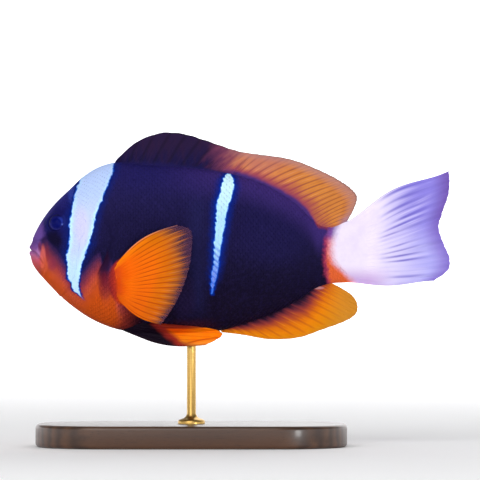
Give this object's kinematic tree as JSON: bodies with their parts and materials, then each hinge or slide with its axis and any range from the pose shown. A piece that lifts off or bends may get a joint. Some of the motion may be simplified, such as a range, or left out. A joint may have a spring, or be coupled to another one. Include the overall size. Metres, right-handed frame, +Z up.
{
  "type": "clownfish model",
  "caption": "Life-size museum model of an orange-fin anemonefish, dark with two pale bars and orange fins, on a rod stand.",
  "frame": {"origin": "on the underside of the stand's base, at the base's centre, straight under the rod", "axes": "+Z up; the fish's snout points along -X and its left side faces -Y"},
  "size_m": [0.1302, 0.052, 0.097],
  "materials": {
    "skin": "painted scaled skin, near-black violet with an orange breast and pale bars",
    "eye": "wet gloss eye, dark blue-violet iris",
    "dark_fin": "painted fin web, dark violet turning orange to the rear",
    "orange_fin": "painted fin web and rays, orange",
    "tail_fin": "painted fin web and rays, white shading to lilac",
    "base_wood": "dark satin-varnished walnut",
    "rod_brass": "satin brass"
  },
  "bodies": {
    "root": {"head": "skin", "lower_jaw": "skin", "gill_cover_left": "skin", "gill_cover_right": "skin", "trunk": "skin", "tail_stalk": "skin", "eye_left": "eye", "eye_right": "eye", "dorsal_fin_spiny": "dark_fin", "dorsal_fin_soft": "orange_fin", "anal_fin": "orange_fin", "pectoral_fin_left": "orange_fin", "pectoral_fin_right": "orange_fin", "pelvic_fin_left": "orange_fin", "pelvic_fin_right": "orange_fin", "caudal_fin": "tail_fin", "stand_base": "base_wood", "stand_rod": "rod_brass"}
  },
  "joints": []
}
